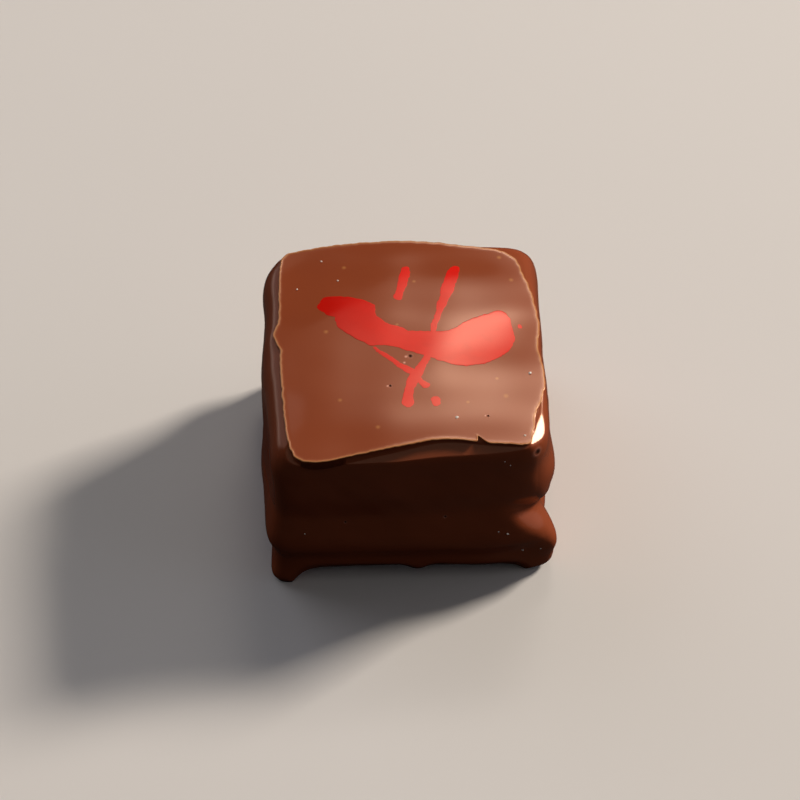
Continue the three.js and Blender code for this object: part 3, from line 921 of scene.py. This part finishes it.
def smooth_line(points, count):
    """A Catmull-Rom spline through the points, as count points at equal steps of length."""
    points = np.asarray(points, float)
    padded = np.concatenate([2 * points[:1] - points[1:2], points, 2 * points[-1:] - points[-2:-1]])
    fine = np.linspace(0.0, len(points) - 1.0, SPLINE_STEPS * len(points))
    i = np.minimum(fine.astype(int), len(points) - 2)
    t = (fine - i)[:, None]
    p0, p1, p2, p3 = padded[i], padded[i + 1], padded[i + 2], padded[i + 3]
    bend = (2 * p0 - 5 * p1 + 4 * p2 - p3) * t**2 + (3 * p1 - p0 - 3 * p2 + p3) * t**3
    line = 0.5 * (2 * p1 + (p2 - p0) * t + bend)
    run = run_along(line)
    even = np.linspace(0.0, run[-1], count)
    return np.stack([np.interp(even, run, column) for column in line.T], -1)


def stroke_edges(stroke, count):
    """A stroke's two edges: its line moved out to each side by half its width, with round ends, where
    the half width falls off as a circle does."""
    line = smooth_line(stroke, count)
    along = np.gradient(line[:, :2], axis=0)
    along /= np.hypot(*along.T)[:, None]
    across = np.stack([-along[:, 1], along[:, 0]], -1)
    run = run_along(line)
    half = line[:, 2] / 2.0
    from_end = np.minimum(run, run[-1] - run)
    cap = np.minimum(half[0], run[-1] / 2.0)
    half = half * np.sqrt(1.0 - np.clip(1.0 - from_end / cap, 0.0, 1.0) ** 2)
    return line[:, :2] + across * half[:, None], line[:, :2] - across * half[:, None]


def ragged(line):
    """An edge of the print, moved aside a little by smooth waves, as a wet film creeps."""
    places = line[:, :2]
    return places + np.stack([uneven(places, layers) for layers in PRINT_CREEP], -1)


def film(left, right, lift):
    """A flat tube between two edges on the plate. Across it the angle goes once round: its cosine gives
    the place between the edges, and its sine, flattened by a power, the height over and under the
    plate. Gives points and quads."""
    turn = 2.0 * np.pi * (np.arange(FILM_AROUND) + 0.5) / FILM_AROUND
    side = np.cos(turn)[None, :, None]
    middle = (left + right)[:, None] / 2.0
    places = middle + (left - right)[:, None] / 2.0 * side
    rise = lift * np.sign(np.sin(turn)) * np.abs(np.sin(turn)) ** FILM_FLATTEN
    height = plate_height(places[..., 0], places[..., 1]) + rise
    points = np.concatenate([places, height[..., None]], -1)
    return points.reshape(-1, 3), tube_quads(len(left), FILM_AROUND)


def close_ends(piece):
    """Merges points that coincide, caps what is left open and turns every face outwards."""
    work = bmesh.new()
    work.from_mesh(piece.data)
    bmesh.ops.remove_doubles(work, verts=work.verts, dist=MERGE_WITHIN * MM)
    bmesh.ops.holes_fill(work, edges=work.edges)
    bmesh.ops.recalc_face_normals(work, faces=work.faces)
    work.to_mesh(piece.data)
    work.free()
    piece.data.shade_smooth()


def laid_piece(name, parts, material):
    """One object of several closed parts, each with its points and quads, that lies on the coat."""
    starts = np.cumsum([0] + [len(points) for points, _ in parts])
    points = np.concatenate([points for points, _ in parts])
    quads = np.concatenate([quads + start for (_, quads), start in zip(parts, starts)])
    piece = mesh_object(name, points, quads)
    close_ends(piece)
    piece.data.materials.append(material)
    ride(piece)


class BONBON_OT_print(bpy.types.Operator):
    """Lays the red print on the plate: a broad swoosh, strokes and drops"""

    bl_idname = "bonbon.print"
    bl_label = "Print"

    def execute(self, context):
        edges = [(smooth_line(SWOOSH_BACK, SWOOSH_STEPS), smooth_line(SWOOSH_FRONT, SWOOSH_STEPS))]
        edges += [stroke_edges(stroke, STROKE_STEPS) for stroke in STROKES]
        # each part lies a little higher than the last, so that none cuts another
        parts = [
            film(ragged(back), ragged(front), sizes().film * (1.0 + FILM_STACK * i))
            for i, (back, front) in enumerate(edges)
        ]
        laid_piece("print", parts, coloured_cocoa_butter())
        return {"FINISHED"}


def grain(centre, radius, seed):
    """A lumpy, flattened ball: circles of latitude whose radius goes in and out by smooth waves."""
    polar = np.pi * (np.arange(GRAIN_ROWS) + 0.5) / GRAIN_ROWS
    turn = 2.0 * np.pi * np.arange(GRAIN_COLUMNS) / GRAIN_COLUMNS
    p, t = np.meshgrid(polar, turn, indexing="ij")
    way = np.stack([np.sin(p) * np.cos(t), np.sin(p) * np.sin(t), np.cos(p)], -1)
    height, length = GRAIN_LUMPS
    size = radius * (1.0 + height * waves(way, length, seed))
    way = way * GRAIN_SHAPE
    return (centre + way * size[..., None]).reshape(-1, 3), tube_quads(GRAIN_ROWS, GRAIN_COLUMNS)


class BONBON_OT_grains(bpy.types.Operator):
    """Scatters the few pale grains that stuck to the coat"""

    bl_idname = "bonbon.grains"
    bl_label = "Grains"

    def execute(self, context):
        places = on_plate(PLATE_GRAINS) + on_front(WALL_GRAINS)
        parts = [
            grain(np.array([x, y, z]), radius, GRAIN_SEED + i) for i, (x, y, z, radius) in enumerate(places)
        ]
        laid_piece("grains", parts, sugar_grain())
        return {"FINISHED"}


# The studio

PHOTO_PIXELS = 800
CAMERA_ELEVATION = 50.0
CAMERA_AZIMUTH = -3.0
CAMERA_DISTANCE = 380.0
PIXELS_PER_MM = 11.2  # in the photo, at the middle of the bonbon
TARGET_HEIGHT = 8.0
TARGET_PIXEL = (403.7, 415.9)  # where the middle of the bonbon shows in the photo
SENSOR = 36.0
CLIP_START = 0.01  # metres
LIGHT_DISTANCE = 1.2  # metres
# The window's brightest place and how far its light reaches from there, in shares of its face
WINDOW_HOT = {"across": 0.36, "left": 0.115, "right": 0.29, "up": 0.43, "below": 0.16, "above": 0.235}
# The glow round it has a sharp lower edge, and fades to the left and upwards
GLOW_HOT = {"across": 0.5, "left": 0.4, "right": 0.34, "up": 0.1, "below": 9.0, "above": 0.55}
# Each light: its name, azimuth and elevation, width and height in metres, radiance and tint, how far it
# is turned in its own plane, and where its face is brightest
LIGHTS = (
    ("key", 62.0, 33.0, 0.24, 0.24, 84.0, "#fff1e2", 0.0, None),
    ("window", 17.8, 48.8, 0.838, 0.419, 9.6, "#fff4ea", 28.2, WINDOW_HOT),
    ("glow", 8.3, 50.3, 0.58, 0.262, 0.98, "#fff4ea", 24.0, GLOW_HOT),
    ("fill", -44.0, 32.0, 0.95, 1.1, 0.76, "#f4f4ff", 0.0, None),
    ("room", 92.0, 18.0, 1.2, 0.8, 0.62, "#f6f2ff", 0.0, None),
    ("low", -50.0, 9.0, 0.6, 0.32, 0.85, "#fff4ea", 0.0, None),
    ("overhead", 180.0, 68.0, 0.6, 0.6, 0.4, "#fff8f0", 0.0, None),
)
WORLD = {"colour": "#d8d8dc", "strength": 0.05}
# The pale floor shows to the camera and takes the shadow, and only the dark card below it counts for
# what the bonbon mirrors, as dark ground does: sizes and heights in metres
FLOOR = {"size": 4.0, "height": -0.00001, "finish": "pale_card", "colour": "#e2e1df"}
DARK_CARD = {"size": 4.0, "height": -0.00006, "finish": "dark_card", "colour": "#363432"}


def direction(azimuth, elevation):
    """The unit vector towards a compass direction, 0 being +Y and 90 +X, at an elevation, in degrees."""
    a, e = azimuth / DEGREES, elevation / DEGREES
    return Vector((math.sin(a) * math.cos(e), math.cos(a) * math.cos(e), math.sin(e)))


def photo_camera():
    """The photo's view: the camera looks level with the line from the middle of the bonbon, moved
    aside so that the middle shows at its own pixel."""
    back = direction(180.0 - CAMERA_AZIMUTH, CAMERA_ELEVATION)
    right = Vector((math.cos(CAMERA_AZIMUTH / DEGREES), math.sin(CAMERA_AZIMUTH / DEGREES), 0.0))
    up = back.cross(right)
    target = Vector(middle_shift()) + Vector((0.0, 0.0, TARGET_HEIGHT))
    aside = (TARGET_PIXEL[0] - PHOTO_PIXELS / 2) / PIXELS_PER_MM
    down = (TARGET_PIXEL[1] - PHOTO_PIXELS / 2) / PIXELS_PER_MM
    data = bpy.data.cameras.new("camera")
    data.sensor_width = SENSOR
    data.lens = SENSOR * PIXELS_PER_MM * CAMERA_DISTANCE / PHOTO_PIXELS
    data.clip_start = CLIP_START
    camera = add_object("camera", data)
    camera.location = (target + back * CAMERA_DISTANCE - right * aside + up * down) * MM
    camera.rotation_euler = back.to_track_quat("Z", "Y").to_euler()
    bpy.context.scene.camera = camera


def softbox(name, azimuth, elevation, width, height, radiance, tint, turn, hot):
    """A rectangular light that faces the bonbon from LIGHT_DISTANCE, turned in its own plane."""
    data = bpy.data.lights.new(name, "AREA")
    data.shape = "RECTANGLE"
    data.size = width
    data.size_y = height
    data.energy = radiance * math.pi * width * height
    data.color = linear(tint)[:3]
    if hot:
        shade_softbox(data, hot)
    light = add_object(name, data)
    away = direction(azimuth, elevation)
    light.location = away * LIGHT_DISTANCE
    light.rotation_euler = away.to_track_quat("Z", "Y").to_euler()
    light.rotation_euler.rotate_axis("Z", turn / DEGREES)


def shade_softbox(data, hot):
    """The light's strength over its face: a hot spot, and a bell's fall-off to each side of it, as the
    bonbon sees the face."""
    data.use_nodes = True
    tree = data.node_tree
    tree.nodes.clear()
    face = put(tree, "ShaderNodeNewGeometry", out="Parametric")
    axes = put(tree, "ShaderNodeSeparateXYZ", {"Vector": face})
    # the face's own x runs from right to left as the bonbon sees it
    across = bell_field(tree, axes.outputs["X"], 1.0 - hot["across"], hot["right"], hot["left"])
    up = bell_field(tree, axes.outputs["Y"], hot["up"], hot["below"], hot["above"])
    strength = maths(tree, "MULTIPLY", across, up)
    glow = put(tree, "ShaderNodeEmission", {"Strength": strength}, "Emission")
    put(tree, "ShaderNodeOutputLight", {"Surface": glow})


def bell_field(tree, value, middle, before, after):
    """A bell round the middle, with one reach before it and another after it."""
    away = maths(tree, "SUBTRACT", value, middle)
    share = 0.0
    for end, reach in (("MINIMUM", before), ("MAXIMUM", after)):
        share = maths(tree, "MULTIPLY_ADD", maths(tree, end, away, 0.0), 1.0 / reach, share)
    return maths(tree, "POWER", math.exp(-1.0), maths(tree, "MULTIPLY", share, share))


def card(name, looks):
    """A flat square of card at its height."""
    mesh = bpy.data.meshes.new(name)
    half = looks["size"] / 2.0
    height = looks["height"]
    corners = [(half * x, half * y, height) for x, y in ((-1, -1), (1, -1), (1, 1), (-1, 1))]
    mesh.from_pydata(corners, [], [(0, 1, 2, 3)])
    mesh.update()
    ground = add_object(name, mesh)
    ground.data.materials.append(studio_card(looks["finish"], looks["colour"]))
    return ground


class BONBON_OT_stage(bpy.types.Operator):
    """Sets up the studio: a pale floor, soft lights and the photo's camera"""

    bl_idname = "bonbon.stage"
    bl_label = "Stage"

    def execute(self, context):
        scene = context.scene
        photo_camera()
        floor = card("floor", FLOOR)
        floor.visible_diffuse = False
        floor.visible_glossy = False
        floor.visible_shadow = False
        under = card("dark_card", DARK_CARD)
        under.visible_camera = False
        for light in LIGHTS:
            softbox(*light)
        scene.world = bpy.data.worlds.new("studio")
        scene.world.use_nodes = True
        background = scene.world.node_tree.nodes["Background"]
        background.inputs["Color"].default_value = linear(WORLD["colour"])
        background.inputs["Strength"].default_value = WORLD["strength"]
        scene.view_settings.view_transform = "Standard"
        return {"FINISHED"}


class BONBON_PT_panel(bpy.types.Panel):
    """Lists the settings and the steps"""

    bl_idname = "BONBON_PT_panel"
    bl_label = "Bonbon"
    bl_space_type = "VIEW_3D"
    bl_region_type = "UI"
    bl_category = "Bonbon"

    def draw(self, context):
        for group in (context.scene.bonbon_sizes, context.scene.bonbon_looks):
            box = self.layout.box()
            for key in group.__annotations__:
                box.prop(group, key)
        for operator in STEPS:
            self.layout.operator(operator.bl_idname)


STEPS = (BONBON_OT_coat, BONBON_OT_print, BONBON_OT_grains, BONBON_OT_stage)
CLASSES = (BonbonSizes, BonbonLooks) + STEPS + (BONBON_PT_panel,)


def register():
    for cls in CLASSES:
        bpy.utils.register_class(cls)
    bpy.types.Scene.bonbon_sizes = PointerProperty(type=BonbonSizes)
    bpy.types.Scene.bonbon_looks = PointerProperty(type=BonbonLooks)


def unregister():
    del bpy.types.Scene.bonbon_looks
    del bpy.types.Scene.bonbon_sizes
    for cls in reversed(CLASSES):
        bpy.utils.unregister_class(cls)


def main():
    """Registers the add-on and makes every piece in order."""
    register()
    bpy.ops.bonbon.coat()
    bpy.ops.bonbon.print()
    bpy.ops.bonbon.grains()
    bpy.ops.bonbon.stage()


if __name__ == "__main__":
    main()
